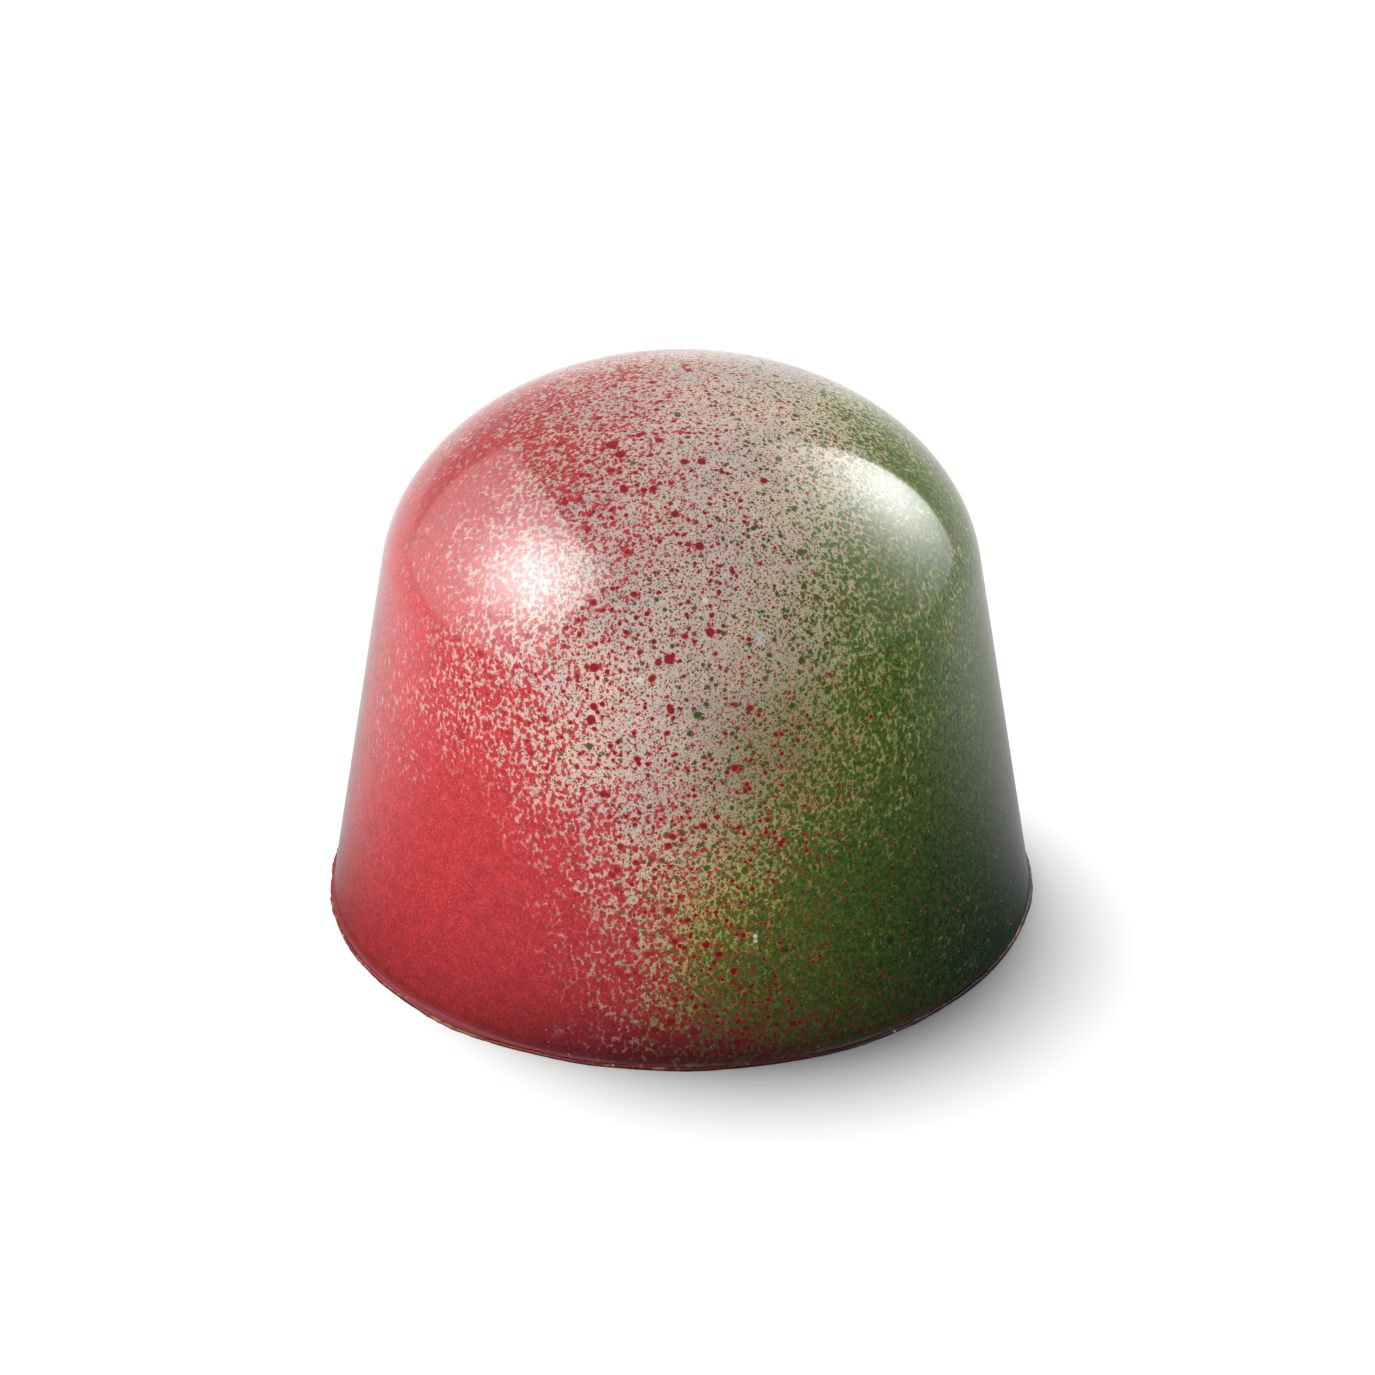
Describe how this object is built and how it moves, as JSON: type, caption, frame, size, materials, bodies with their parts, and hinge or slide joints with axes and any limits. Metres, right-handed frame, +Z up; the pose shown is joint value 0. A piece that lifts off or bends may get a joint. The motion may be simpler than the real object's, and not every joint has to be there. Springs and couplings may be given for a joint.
{
  "type": "chocolate bonbon",
  "caption": "Round moulded chocolate bonbon with a high dome, a tapered wall and a flat base, speckled with coloured cocoa butter.",
  "frame": {"origin": "centre of the flat underside, on the table", "axes": "+Z up along the bonbon's axis of revolution; the pictured side faces -Y, with the red half towards -X and the green half towards +X"},
  "size_m": [0.028, 0.0281, 0.022],
  "materials": {
    "cocoa_butter_shell": "mirror-glossy tempered shell, sprayed red on one half and green on the other over a white undercoat"
  },
  "bodies": {
    "root": {"bonbon": "cocoa_butter_shell"}
  },
  "joints": []
}
